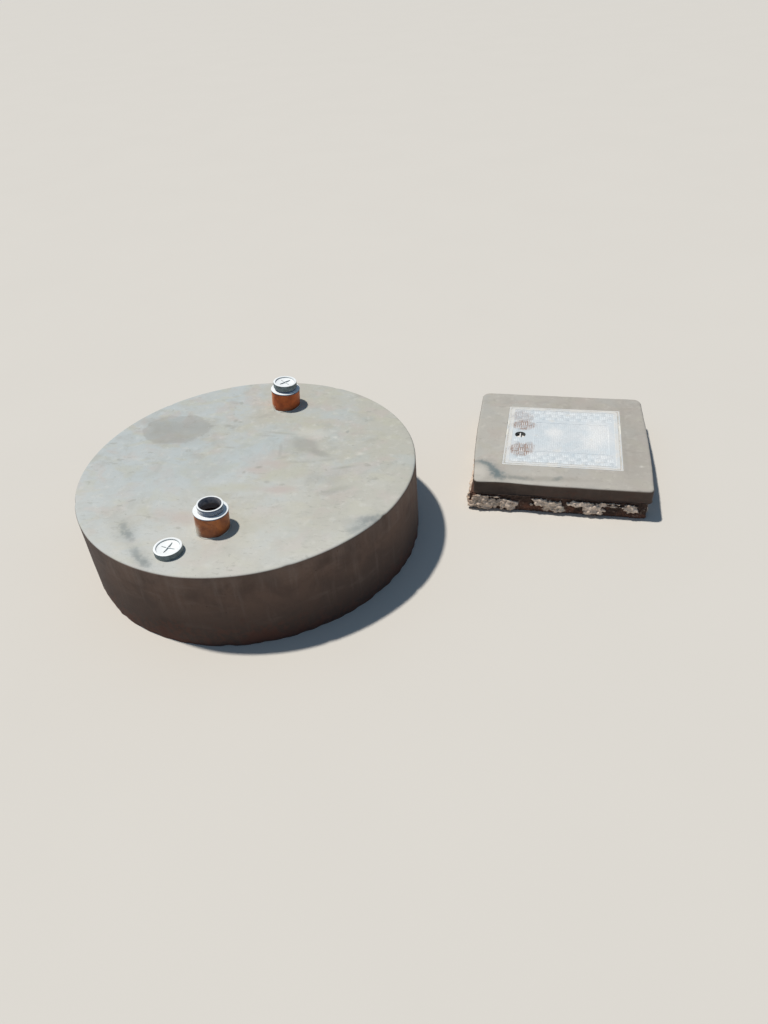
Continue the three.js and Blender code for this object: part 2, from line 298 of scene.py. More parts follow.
collarLook = dict(
    paints(warm=(172, 168, 161), cool=(177, 175, 168), pink=(175, 166, 159), yellow=(174, 172, 160),
           blue=(169, 173, 171), dark=(149, 145, 139), pale=(202, 199, 191), damp=(148, 145, 137),
           smudge=(98, 114, 118), fleck=(222, 221, 214)),
    side=collarShadedSide, coolFrom=-0.3, warmFrom=0.3, frontPale=0.3,
    marks=[
        ("smudge", [
            (-0.25, -0.246, 0.074, 0.03, -50, 0.35), (-0.285, -0.206, 0.03, 0.01, -20, 0.7, 0.8, 0.9),
            (-0.25, -0.24, 0.04, 0.014, -55, 0.8, 0.8, 0.9),
            (-0.224, -0.28, 0.028, 0.02, -50, 0.85, 0.7, 0.9),
            (-0.145, -0.292, 0.05, 0.01, -3, 0.6, 0.8, 0.9),
            (-0.006, -0.284, 0.018, 0.01, 25, 0.75, 0.8, 0.9)]),
        ("damp", [(-0.06, -0.288, 0.15, 0.015, 2, 0.55, 0.7)]),
        ("pale", [(-0.295, -0.262, 0.03, 0.04, 0, 0.6, 0.7, 0.4)]),
        ("damp", [(0.27, -0.06, 0.05, 0.26, 3, 0.3)]),
        ("fleck", [(0.3, -0.172, 0.009, 0.006, 0, 0.5, 0.9, 0.9)]),
    ],
)
packedLook = dict(collarLook, **paints(warm=(218, 215, 208), cool=(222, 222, 218)), marks=[])
sideSeam = (0.03, 0.018)  # from here to here below its top, a piece of cement turns from wall to top


def markMask(here, uneven, broken, x, y, half, depth, turn, strength, soft=0.9, wobble=0.5):
    field = broken if wobble > 0.8 else uneven
    return times(spot(here, x, y, half, depth, soft, wobble, field, turn), strength)


def cement(where, look, origin, topHeight):
    here = mapped(where, Location=(-origin.x, -origin.y, 0.0))
    broad = cloud(here, 5.0, 4.0)
    patchy = cloud(here, 13.0, 6.0, 0.6, 0.5)
    rosy = cloud(here, 11.0, 5.0, 0.5, 0.4, 5.0)
    straw = cloud(here, 10.0, 5.0, 0.5, 0.4, 9.0, (1.0, 1.6, 1.0))
    bluish = cloud(here, 7.0, 4.0, 0.5, 0.5, 13.0)
    mottled = cloud(here, 34.0, 5.0, 0.6)
    strokes = cloud(here, 34.0, 5.0, 0.65, 0.8, 2.0, (1.0, 2.4, 1.0))
    smears = cloud(here, 24.0, 4.0, 0.55, 0.6, 11.0, (1.0, 1.8, 1.0))
    uneven = cloud(here, 16.0, 5.0)
    broken = cloud(here, 60.0, 4.0, 0.6)
    grain = cloud(here, 380.0, 3.0, 0.7)
    speck = cloud(here, 130.0, 2.0)
    fleck = cloud(here, 110.0, 2.0, shift=7.0)
    top = layered(
        look, "cool",
        (swayed(axisOf(here, "X"), broad, 0.45, 0.2, 0.8), look["coolFrom"], look["warmFrom"], 1.0, "warm"),
        (bluish, 0.5, 0.64, 0.34, "blue"), (rosy, 0.5, 0.64, 0.45, "pink"),
        (straw, 0.5, 0.64, 0.45, "yellow"), (patchy, 0.48, 0.72, 0.38, "dark"),
        (swayed(axisOf(here, "Y"), broad, 0.2, 0.2, 0.8), 0.1, -0.6, look["frontPale"], "pale"),
        (mottled, 0.52, 0.72, 0.32, "pale"), (strokes, 0.54, 0.72, 0.36, "dark"),
        (smears, 0.61, 0.71, 0.5, "dark"))
    for tint, places in look["marks"]:
        top = layered(look, top, *((markMask(here, uneven, broken, *place), tint) for place in places))
    top = layered(look, top, (grain, 0.3, 0.75, 0.16, "dark"), (speck, 0.68, 0.77, 0.55, "dark"),
                  (fleck, 0.71, 0.77, 0.55, "pale"))
    side, _, sideBumps = plasterCoat(where, look["side"])
    nearTop = ramp(axisOf(where, "Z"), *(topHeight - below for below in sideSeam))
    # Sides take the wall plaster's darker colours, painted shade, while tops keep the cement's own.
    colour = mixed(times(upFacing(where, 0.25, 0.8), nearTop), side, top)
    bumps = [(strokes, 0.0012, 0.3), (mottled, 0.002, 0.25), (speck, 0.001, 0.25)]
    return colour, ramp(patchy, 0.3, 0.7, 0.88, 0.76), bumps + sideBumps


# Rough mortar: pale where it stands out as lumps, partly a painted highlight of sun on them; soil-stained and
# dark where the wall is only skimmed, partly painted shade under the collar.
mortarLook = paints(pale=(226, 207, 190), grey=(174, 157, 142), dark=(76, 61, 53), soil=(112, 76, 60),
                    soilDark=(64, 48, 40), green=(144, 146, 132))


def mortar(where, look):
    patchy = cloud(where, 12.0, 6.0, 0.62, 0.4)
    tinted = cloud(where, 9.0, 4.0, shift=4.0)
    lumpy = cloud(where, 70.0, 6.0, 0.65)
    grain = cloud(where, 320.0, 3.0, 0.7)
    height = axisOf(where, "Z")
    stand = swayed(attributeBy(where, "stand"), lumpy, 0.25)
    # The skim's dark soil colours are soil stain and also painted shade under the collar.
    skim = layered(look, "soil", (patchy, 0.4, 0.56, 1.0, "soilDark"), (lumpy, 0.54, 0.7, 0.4, "grey"),
                   (height, 0.02, 0.05, 0.6, "soilDark"))
    # Lumps are pale, partly a painted highlight of sun; their deepest hollows are painted shade.
    lump = layered(look, "grey", (patchy, 0.36, 0.58, 1.0, "pale"), (tinted, 0.54, 0.68, 0.4, "green"),
                   (lumpy, 0.45, 0.62, 0.6, "pale"), (lumpy, 0.44, 0.3, 0.85, "dark"))
    low = times(ramp(height, 0.022, 0.0, 0.0, 0.6), ramp(patchy, 0.38, 0.6))
    colour = layered(look, skim, (stand, 0.15, 0.55, 1.0, lump), (low, "soil"))
    return colour, ramp(lumpy, 0.3, 0.7, 0.98, 0.88), [(lumpy, 0.004, 0.6), (grain, 0.0012, 0.6)]


# Orange drainage pipe: dull plastic with dust, scratches and a cement smear near the slab, a painted
# highlight on the side towards the sun, and a bore painted dark as shade with dirt. The smear is its place
# from the riser, its half sizes and its height.
pipeLook = dict(
    paints(orange=(186, 104, 42), brown=(142, 76, 38), dust=(184, 130, 92), cement=(214, 204, 188),
           soil=(104, 62, 42), bore=(66, 58, 54), bleached=(226, 178, 146)),
    bleach=0.65, smear=(-0.052, -0.024, 0.03, 0.052, 0.06), dirtTop=0.024,
)
farPipeLook = dict(
    pipeLook, **paints(orange=(204, 92, 8), brown=(160, 68, 8), dust=(194, 114, 50), soil=(112, 56, 22),
                       bleached=(240, 176, 120)),
    smear=(-0.042, -0.036, 0.014, 0.014, 0.022),
)


def orangePlastic(where, look, riser):
    patchy = cloud(where, 22.0, 6.0, 0.6, 0.4)
    fine = cloud(where, 120.0, 5.0, 0.65)
    scratches = cloud(where, 260.0, 3.0, 0.6, stretch=(1.0, 1.0, 0.06))
    height = axisOf(where, "Z")
    x, y, half, depth, top = look["smear"]
    low = ramp(swayed(height, fine, 0.006), slabTop + top, slabTop + top * 0.3, 0.0, 0.9)
    smeared = times(spot(where, riser.x + x, riser.y + y, half, depth, 0.4, 0.6, fine), low)
    dirt = swayed(height, patchy, 0.012, 0.2, 0.8)
    facing = swayed(axisOf(normalBy(where), "X"), fine, 0.08)
    # The bore's dark colour is painted shade with dirt.
    bore = mixed(ramp(patchy, 0.4, 0.6), look["bore"], look["soil"])
    colour = layered(
        look, "orange", (patchy, 0.38, 0.66, 1.0, "brown"), (fine, 0.55, 0.74, 0.5, "dust"),
        (scratches, 0.62, 0.74, 0.35, "dust"),
        (dirt, slabTop + look["dirtTop"], slabTop + 0.002, 0.75, "soil"),
        # Faces turned towards the sun get a painted highlight.
        (facing, -0.55, -1.0, look["bleach"], "bleached"), (smeared, "cement"),
        (attributeBy(where, "inside"), bore))
    return colour, ramp(patchy, 0.3, 0.7, 0.38, 0.62), [(fine, 0.0004, 0.35), (scratches, 0.0003, 0.3)]


# Grey fittings and caps: moulded plastic, dusty on top. Tops are painted near white as a painted highlight,
# and sides painted darker as shade.
fittingLook = paints(top=(242, 247, 250), side=(130, 144, 146), dark=(92, 104, 106), dust=(206, 202, 194),
                     inside=(208, 200, 196))
# The threaded neck's sides are darker and bluer: painted shade.
fittingShadedLook = dict(fittingLook, **paints(side=(90, 104, 126), dark=(58, 68, 84)))


def greyPlastic(where, look):
    patchy = cloud(where, 40.0, 5.0, 0.6)
    fine = cloud(where, 190.0, 4.0, 0.65)
    inside = mixed(ramp(patchy, 0.4, 0.8), look["inside"], look["side"])
    side = layered(look, "side", (patchy, 0.38, 0.66, 1.0, "dark"), (fine, 0.55, 0.75, 0.15, "dust"),
                   (attributeBy(where, "inside"), inside))
    top = layered(look, "top", (patchy, 0.5, 0.75, 0.35, "dust"), (fine, 0.56, 0.76, 0.25, "side"))
    # Upward faces get the painted highlight, steep faces the painted shade.
    colour = mixed(upFacing(where, 0.35, 0.75), side, top)
    return colour, ramp(fine, 0.3, 0.7, 0.42, 0.58), [(patchy, 0.0004, 0.2), (fine, 0.0002, 0.3)]


# Galvanised steel: bluish and bright, with rusty soil in the grooves round the lifting eye. Low grooves are
# darkened as painted shade with dirt, glares are painted highlights, and the eye's cup has a painted shadow
# round a painted lit spot. Marks are in metres from the eye: place and half sizes, and a stain's strength.
steelLook = dict(
    paints(bright=(234, 238, 240), blue=(214, 224, 230), dull=(204, 210, 213), groove=(194, 202, 208),
           rust=(146, 110, 88), cement=(226, 223, 216), glare=(250, 249, 247), eye=(236, 234, 231),
           edge=(226, 224, 219), eyeShade=(48, 44, 42), dab=(244, 242, 232)),
    edgeWidth=0.0155, metal=0.15, cup=(0.0, 0.0, 0.0212, 0.0212), cupFloor=(0.003, -0.0065, 0.02, 0.02),
    stains=[(0.01, 0.076, 0.046, 0.038, 0.85), (-0.002, 0.14, 0.044, 0.05, 0.45),
            (0.002, -0.104, 0.036, 0.046, 0.9), (0.038, -0.092, 0.024, 0.04, 0.55)],
    dabs=[(-0.0525, 0.012, 0.005, 0.02), (-0.0515, 0.09, 0.004, 0.022), (0.389, 0.075, 0.005, 0.034)],
    glares=[(0.3, 0.02, 0.055, 0.11), (0.133, 0.022, 0.032, 0.036)],
)


def steel(where, look):
    def byEye(x, y, *rest):
        return spot(where, eyeCentre.x + x, eyeCentre.y + y, *rest)

    patchy = cloud(where, 9.0, 6.0, 0.6, 0.5)
    fine = cloud(where, 160.0, 5.0, 0.6)
    smears = cloud(where, 26.0, 5.0, 0.6, shift=6.0)
    spangle = node(where.id_data, "TexVoronoi", {"Vector": where, "Scale": 90.0}).outputs["Color"]
    flake = node(where.id_data, "SeparateColor", {0: spangle}).outputs[0]
    low = ramp(axisOf(where, "Z"), coverTop + 0.0006, coverTop - 0.0002)
    cup = byEye(*look["cup"], 0.02)
    # The cup is painted dark as shade, with a painted lit spot on its floor.
    cupFloor = mixed(byEye(*look["cupFloor"], 0.1, 0.12, fine), look["eyeShade"], look["eye"])
    grooved = times(low, maths("SUBTRACT", 1.0, cup))
    colour = layered(look, "bright", (patchy, 0.38, 0.64, 1.0, "blue"), (flake, 0.2, 0.9, 0.25, "dull"))
    for glare in look["glares"]:
        colour = layered(look, colour, (times(byEye(*glare, 0.7, 0.6, patchy), 0.8), "glare"))
    # Low parts between the tread bars are darkened: painted shade with dirt.
    shade = times(low, ramp(fine, 0.3, 0.55, 0.15, 0.5))
    colour = layered(look, colour, (shade, "groove"), (cup, cupFloor))
    for *stain, strength in look["stains"]:
        mask = times(byEye(*stain, 0.25, 0.4, smears), ramp(fine, 0.34, 0.56, 0.25, 1.0))
        colour = layered(look, colour, (times(mask, ramp(grooved, 0.0, 1.0, 0.18, strength)), "rust"))
    over = []
    for axis, least, most in zip("XY", *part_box("manhole_cover")):
        away = maths("ABSOLUTE", maths("SUBTRACT", axisOf(where, axis), (least + most) / 2))
        over.append(maths("SUBTRACT", away, (most - least) / 2 - look["edgeWidth"]))
    edge = times(ramp(maths("MAXIMUM", *over), 0.0, 0.001), ramp(smears, 0.35, 0.6, 0.15, 0.75))
    colour = layered(look, colour, (smears, 0.6, 0.7, 0.45, "cement"), (edge, "edge"))
    for dab in look["dabs"]:
        colour = layered(look, colour, (times(byEye(*dab, 0.3, 0.9, smears), 0.95), "dab"))
    return colour, ramp(patchy, 0.3, 0.7, 0.42, 0.6), [(patchy, 0.0006, 0.2), (fine, 0.0002, 0.3)]


slabCement = materialFrom("slab cement", cement, slabLook, tankCentre, slabTop)
collarCement = materialFrom("collar cement", cement, collarLook, chamberCentre, collarTop)
packedCement = materialFrom("packed cement", cement, packedLook, chamberCentre, collarTop)
wallPlaster = materialFrom("wall plaster", plasterCoat, wallLook)
roughMortar = materialFrom("rough mortar", mortar, mortarLook)
nearPipePlastic = materialFrom("near pipe plastic", orangePlastic, pipeLook, nearRiser)
farPipePlastic = materialFrom("far pipe plastic", orangePlastic, farPipeLook, farRiser)
capPlastic = materialFrom("cap plastic", greyPlastic, fittingLook)
fittingPlastic = materialFrom("fitting plastic", greyPlastic, fittingShadedLook)
galvanised = materialFrom("galvanised steel", steel, steelLook, metal=steelLook["metal"])
print("materials ready")


# Mesh helpers.
def outwards(bm):
    bmesh.ops.recalc_face_normals(bm, faces=bm.faces[:])
    return bm


# An outline of radius and height, spun round the upright axis, or wound up it when there is a lift.
def spun(points, steps, closed=True, step=None, turn=2 * pi, lift=0.0):
    bm = bmesh.new()
    line = [bm.verts.new((radius, 0.0, height)) for radius, height in points]
    pairs = list(zip(line, line[1:]))
    if closed:
        pairs.append((line[-1], line[0]))
    edges = [bm.edges.new(pair) for pair in pairs]
    for edge in edges:
        cuts = int(edge.calc_length() / step) if step else 0
        if cuts:
            bmesh.ops.subdivide_edges(bm, edges=[edge], cuts=cuts)
    bmesh.ops.spin(
        bm, geom=bm.verts[:] + bm.edges[:], cent=(0, 0, 0), axis=(0, 0, 1), dvec=(0, 0, lift / steps),
        angle=turn, steps=steps, use_merge=lift == 0, use_duplicate=False,
    )
    bmesh.ops.remove_doubles(bm, verts=bm.verts[:], dist=1e-6)
    if lift:
        bmesh.ops.holes_fill(bm, edges=[edge for edge in bm.edges if edge.is_boundary])
    return outwards(bm)


def peg(radius, low, high, steps):
    return spun([(0, low), (radius, low), (radius, high), (0, high)], steps, closed=False)


def placed(bm, place, turn=0.0, tilt=Matrix.Identity(4)):
    matrix = Matrix.Translation(place) @ tilt @ Matrix.Rotation(radians(turn), 4, "Z")
    bmesh.ops.transform(bm, matrix=matrix, verts=bm.verts[:])
    return bm


def joined(bm, other):
    part = bpy.data.meshes.new("part")
    other.to_mesh(part)
    other.free()
    bm.from_mesh(part)
    bpy.data.meshes.remove(part)


def pieceFrom(name, bm, material, sharp=35.0):
    mesh = bpy.data.meshes.new(name)
    bm.to_mesh(mesh)
    bm.free()
    piece = bpy.data.objects.new(name, mesh)
    scene.collection.objects.link(piece)
    mesh.materials.append(material)
    soften(piece, sharp)
    return piece


def soften(piece, sharp):
    piece.data.polygons.foreach_set("use_smooth", [True] * len(piece.data.polygons))
    piece.data.set_sharp_from_angle(angle=radians(sharp))


# Adds a modifier to a piece.
def modified(piece, kind, **settings):
    modifier = piece.modifiers.new(kind.lower(), kind)
    for name, value in settings.items():
        setattr(modifier, name, value)


# Makes what a piece's modifiers give its own mesh.
def settle(piece):
    shaped = bpy.data.meshes.new_from_object(piece.evaluated_get(bpy.context.evaluated_depsgraph_get()))
    shaped.name = piece.name
    old = piece.data
    piece.modifiers.clear()
    piece.data = shaped
    bpy.data.meshes.remove(old)


def carve(piece, bm, operation="DIFFERENCE"):
    tool = pieceFrom(piece.name + " tool", bm, piece.data.materials[0])
    modified(piece, "BOOLEAN", operation=operation, solver="EXACT", object=tool)
    settle(piece)
    mesh = tool.data
    bpy.data.objects.remove(tool)
    bpy.data.meshes.remove(mesh)


# Remeshes a piece and then moves each of its points.
def remodel(piece, voxel, move, sharp):
    modified(piece, "REMESH", mode="VOXEL", voxel_size=voxel)
    settle(piece)
    bm = bmesh.new()
    bm.from_mesh(piece.data)
    bm.normal_update()
    for vert in bm.verts:
        vert.co = move(vert.co.copy(), vert.normal.copy())
    bm.to_mesh(piece.data)
    bm.free()
    soften(piece, sharp)


def edged(piece, width, segments=2):
    modified(piece, "BEVEL", width=width, segments=segments, limit_method="ANGLE", angle_limit=radians(40.0))


# Gives each point of a finished mesh a value that its material reads.
def marked(piece, name, measure):
    attribute = piece.data.attributes.new(name, "FLOAT", "POINT")
    for vert, item in zip(piece.data.vertices, attribute.data):
        item.value = measure(vert.co)


def fitted(bm, low, high):
    bmesh.ops.scale(bm, vec=high - low, verts=bm.verts[:])
    bmesh.ops.translate(bm, vec=(low + high) / 2, verts=bm.verts[:])
    return bm


def boxBetween(low, high):
    bm = bmesh.new()
    bmesh.ops.create_cube(bm, size=1.0)
    return fitted(bm, Vector(low), Vector(high))


def flatPlate(low, high, height):
    bm = bmesh.new()
    bmesh.ops.create_grid(bm, x_segments=1, y_segments=1, size=0.5)
    return fitted(bm, *(Vector((*corner.xy, height)) for corner in (low, high)))


def inset(bm, faces, width, outer=False):
    made = bmesh.ops.inset_region(bm, faces=faces, thickness=width, use_boundary=outer, use_even_offset=True)
    return made["faces"]


# The outer strip of a flat plate, once its middle is cut away.
def stripOf(bm, width):
    middle = bm.faces[:]
    strip = inset(bm, middle, width, True)
    bmesh.ops.delete(bm, geom=middle, context="FACES")
    return strip


def raised(bm, faces, height):
    made = bmesh.ops.extrude_face_region(bm, geom=faces)["geom"]
    moved = [item for item in made if isinstance(item, bmesh.types.BMVert)]
    bmesh.ops.translate(bm, vec=(0, 0, height), verts=moved)
    return [item for item in made if isinstance(item, bmesh.types.BMFace)]


def bevelled(bm, geom, offset, segments, affect="EDGES"):
    bmesh.ops.bevel(bm, geom=geom, offset=offset, segments=segments, profile=0.5, affect=affect, material=-1)


# Noise from about -1 to 1, and from about 0 to 1.
def lumps(point, size, seed):
    return noise.noise(point / size + Vector((seed, 2.3 * seed, -1.7 * seed)))


def swell(point, size, seed):
    return 0.5 + 0.5 * lumps(point, size, seed)


def clamped(value, low=0.0):
    return max(low, min(1.0, value))


# Draws a point nearer to the upright axis.
def drawnIn(point, depth):
    return point - Vector((point.x, point.y, 0)).normalized() * depth


def pinched(vert, share):
    vert.co.x *= share
    vert.co.y *= share


def assign(piece, body, slotName, *nodes):
    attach(piece, body)
    if nodes:
        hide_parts(*nodes)


# Tank wall and slab side: plaster laid by hand, so its face wanders a few millimetres inwards, and the
# round is a little flat on one side.
plaster = dict(
    wave=0.003, waveSize=0.2, ripple=0.0009, rippleSize=0.05, footDepth=0.005, footHeight=0.035,
    footSize=0.03, thickness=0.12, steps=540, step=0.0075, tuck=0.002, tuckDepth=0.0003, flatAt=-47.0,
    flatHalf=30.0, flatDepth=0.0105, fade=0.03,
)


def plasterDip(point):
    dip = plaster["wave"] * swell(point, plaster["waveSize"], 3.0)
    dip += plaster["ripple"] * swell(point, plaster["rippleSize"], 7.0)
    low = max(0.0, 1 - point.z / plaster["footHeight"])
    ragged = max(0.0, 0.35 + lumps(point, plaster["footSize"], 11.0))
    away = angleFrom(point, plaster["flatAt"]) / plaster["flatHalf"]
    dip += plaster["flatDepth"] * exp(-away * away)
    return dip + plaster["footDepth"] * low * low * ragged


# How far round the axis a point is from a direction, both in degrees.
def angleFrom(point, direction):
    return (degrees(atan2(point.y, point.x)) - direction + 180) % 360 - 180


def makeWall():
    outer = tankRadius
    inner = tankRadius - plaster["thickness"]
    top = slabBottom + plaster["tuck"]  # the top edge is tucked in behind the slab's side
    outline = [(outer, 0.0), (outer, top), (inner, top), (inner, 0.0)]
    bm = spun(outline, plaster["steps"], step=plaster["step"])
    for vert in bm.verts:
        share = max(0.0, 1 - (outer - hypot(*vert.co.xy)) / plaster["fade"])
        if share:
            tuck = plaster["tuckDepth"] if vert.co.z > slabBottom else 0
            vert.co = drawnIn(vert.co, share * (plasterDip(vert.co) + tuck))
    wall = pieceFrom("tankWall", placed(bm, tankCentre), wallPlaster)
    assign(wall, "plant", "wall_plaster", *[f"tank_wall_{number}" for number in range(1, 9)])


# A chip in the slab's edge is its direction, its depth and its half width in degrees. The drill for the
# risers is its radius and its lower and upper end from the slab's top.
slab = dict(
    arris=0.007, arrisSteps=5, step=0.011, sag=0.0008, sagSize=0.3, chipDrop=0.016,
    drill=(0.0553, -0.1, 0.02),
    chips=[(-23.5, 0.0045, 0.9), (-59.0, 0.003, 1.2), (-151.0, 0.0025, 1.5), (72.0, 0.003, 1.3),
           (141.0, 0.0035, 1.0)],
)


def makeSlab():
    arris = slab["arris"]
    edge = tankRadius - arris
    turns = [pi / 2 * count / slab["arrisSteps"] for count in range(slab["arrisSteps"] + 1)]
    corner = [(edge + arris * sin(turn), slabTop - arris * (1 - cos(turn))) for turn in turns]
    outline = [(0.0, slabTop)] + corner + [(tankRadius, slabBottom), (0.0, slabBottom)]
    bm = spun(outline, plaster["steps"], closed=False, step=slab["step"])
    for vert in bm.verts:
        point = vert.co.copy()
        onSide = clamped((hypot(*point.xy) - edge + plaster["fade"]) / plaster["fade"])
        depth = plasterDip(point) * onSide
        below = (slabTop - point.z) / slab["chipDrop"]
        for angle, dent, width in slab["chips"]:
            away = angleFrom(point, angle) / width
            depth += dent * exp(-away ** 2) * exp(-below * below) * onSide
        if point.z > slabTop - arris:
            point.z -= slab["sag"] * swell(vert.co, slab["sagSize"], 5.0)
        vert.co = drawnIn(point, depth) if depth else point
    piece = pieceFrom("coverSlab", placed(bm, tankCentre), slabCement, 60.0)
    for riser in (nearRiser, farRiser):
        carve(piece, placed(peg(*slab["drill"], 96), riser, tilt=leanTurn))
    soften(piece, 60.0)
    assign(piece, "plant", "slab_concrete", "cover_slab")


makeWall()
makeSlab()
print("tank done")


# Feed pipes with their access fittings. Heights run along the riser from the slab's top.
pipe = dict(radius=0.055, wall=0.0032, edge=0.0008, steps=144, below=0.125, above=0.07)
fitting = dict(
    flange=0.0563, neck=0.0422, bore=0.0365, spigotWall=0.003, spigotGap=0.0003, spigotDepth=0.028,
    neckHeight=0.0223, flangeThickness=0.0045, steps=144, inset=0.0007, lipLow=0.004, lipHigh=0.003,
    edge=0.0012, boreEdge=0.0015, rimEdge=0.0009, threadDepth=0.0008, threadPitch=0.0042, threadTurns=3.6,
    threadWidth=0.0018, threadFrom=0.0012, threadSink=0.0004, threadSteps=96,
)
fittingTop = pipe["above"] + fitting["spigotGap"] + fitting["flangeThickness"] + fitting["neckHeight"]
slack = 0.0001  # how near a point has to be to a bore to lie on it


# Puts a piece that was made upright on its riser.
def erect(piece, foot):
    piece.data.transform(Matrix.Translation(foot) @ leanTurn)


def makePipe(name, cadName, foot, material):
    bottom, top = -pipe["below"], pipe["above"]
    outer, inner, edge = pipe["radius"], pipe["radius"] - pipe["wall"], pipe["edge"]
    outline = [(inner, bottom), (outer, bottom), (outer, top - edge), (outer - edge, top),
               (inner + edge, top), (inner, top - edge)]
    piece = pieceFrom(name, spun(outline, pipe["steps"]), material, 30.0)
    marked(piece, "inside", lambda point: float(hypot(*point.xy) < inner + slack))
    erect(piece, foot)
    assign(piece, "plant", "orange_upvc", cadName)


def makeFitting(name, cadName, foot):
    top = fittingTop
    neckFoot = top - fitting["neckHeight"]
    flangeFoot = neckFoot - fitting["flangeThickness"]
    bottom = pipe["above"] - fitting["spigotDepth"]
    spigot = pipe["radius"] - pipe["wall"] - fitting["spigotGap"]
    spigotBore = spigot - fitting["spigotWall"]
    flange, neck, bore = fitting["flange"], fitting["neck"], fitting["bore"]
    root = neck - fitting["inset"]
    outline = [
        (spigotBore, bottom), (spigot, bottom), (spigot, flangeFoot), (flange, flangeFoot),
        (flange, neckFoot), (root, neckFoot), (root, top - fitting["lipLow"]),
        (neck, top - fitting["lipHigh"]), (neck, top), (bore, top), (bore, flangeFoot),
        (spigotBore, flangeFoot),
    ]
    piece = pieceFrom(name, spun(outline, fitting["steps"]), fittingPlastic)
    edged(piece, fitting["edge"], 3)
    settle(piece)
    turns, width = fitting["threadTurns"], fitting["threadWidth"]
    sunk, crest = root - fitting["threadSink"], root + fitting["threadDepth"]
    start = neckFoot + fitting["threadFrom"]
    ridge = [(sunk, start), (crest, start + width / 2), (sunk, start + width)]
    steps = int(fitting["threadSteps"] * turns)
    thread = spun(ridge, steps, turn=2 * pi * turns, lift=fitting["threadPitch"] * turns)
    whole = bmesh.new()
    whole.from_mesh(piece.data)
    joined(whole, thread)
    whole.to_mesh(piece.data)
    whole.free()

    def isInside(point):
        radius = bore if point.z > flangeFoot + fitting["boreEdge"] else spigotBore
        return float(hypot(*point.xy) < radius + slack and point.z < top - fitting["rimEdge"])

    marked(piece, "inside", isInside)
    erect(piece, foot)
    soften(piece, 35.0)
    assign(piece, "plant", "grey_upvc", cadName)


# A thin uneven lip of cement where each pipe leaves the slab.
lip = dict(reach=0.009, height=0.004, steps=120, gap=0.0002, sunk=0.004, toe=0.0005, held=0.001, least=0.15,
           shoulder=(0.4, 0.5))


def makeLip(name, place):
    inner = pipe["radius"] + lip["gap"]
    outer = inner + lip["reach"]
    foot = slabTop - lip["sunk"]
    outline = [(inner, foot), (outer, foot), (outer, slabTop - lip["toe"]),
               (inner + lip["reach"] * lip["shoulder"][0], slabTop + lip["height"] * lip["shoulder"][1]),
               (inner, slabTop + lip["height"])]
    bm = spun(outline, lip["steps"])
    for vert in bm.verts:
        reach = hypot(*vert.co.xy)
        if reach > inner + lip["held"]:
            size = clamped(0.55 + 0.9 * lumps(vert.co, 0.03, place.y), lip["least"])
            pinched(vert, (inner + (reach - inner) * size) / reach)
        if vert.co.z > slabTop:
            vert.co.z = slabTop + (vert.co.z - slabTop) * (0.6 + 0.7 * lumps(vert.co, 0.02, 4.0))
    piece = pieceFrom(name, placed(bm, (place.x, place.y, 0)), slabCement, 80.0)
    assign(piece, "plant", "slab_concrete")


for which, riser, material in (("near", nearRiser, nearPipePlastic), ("far", farRiser, farPipePlastic)):
    makePipe(which + "FeedPipe", which + "_feed_pipe", riser, material)
for which, riser in (("near", nearRiser), ("far", farRiser)):
    makeFitting(which + "AccessFitting", which + "_access_fitting", riser)
makeLip("nearPipeLip", nearRiser)
makeLip("farPipeLip", farRiser)
print("pipes done")


# Screw caps: a ribbed cup with a broad rim round a dish, and a tapering cross in the dish to grip. An arm
# of the cross is its direction, and its breadth and height.
cap = dict(
    radius=0.0452, bore=0.0429, height=0.021, plate=0.0022, rim=0.0078, dish=0.0049, slope=0.0014,
    bevel=0.0006, roundOut=0.0016, roundMid=0.0005, roundIn=0.001, roundDrop=0.0008, roundDish=0.0012,
    dishSag=0.0003, ribs=60, ribDepth=0.0007, ribSide=0.0003, ribTop=0.001, armLength=0.05, armWidth=0.0084,
    armTip=0.0022, armTipHeight=0.55, armSteps=10, armTop=0.93, armSunk=0.001, crest=0.4, inside=0.0138,
    seat=0.0003, arms={0: (1.15, 0.0048), 90: (0.85, 0.003)},
)


def capArm(dish, angle, breadth, height):
    bm = bmesh.new()
    bmesh.ops.create_grid(bm, x_segments=cap["armSteps"], y_segments=1, size=0.5)
    raised(bm, bm.faces[:], 1.0)
    for vert in bm.verts:
        high = vert.co.z > 0.5
        along = abs(vert.co.x) * 2
        width = cap["armTip"] + (cap["armWidth"] * breadth - cap["armTip"]) * (1 - along * along)
        rise = height * (1 + (cap["armTipHeight"] - 1) * along)
        vert.co.x *= cap["armLength"] * (cap["armTop"] if high else 1.0)
        vert.co.y *= width * (cap["crest"] if high else 1.0)
        vert.co.z = dish + (rise if high else -cap["armSunk"])
    return placed(outwards(bm), (0, 0, 0), angle)


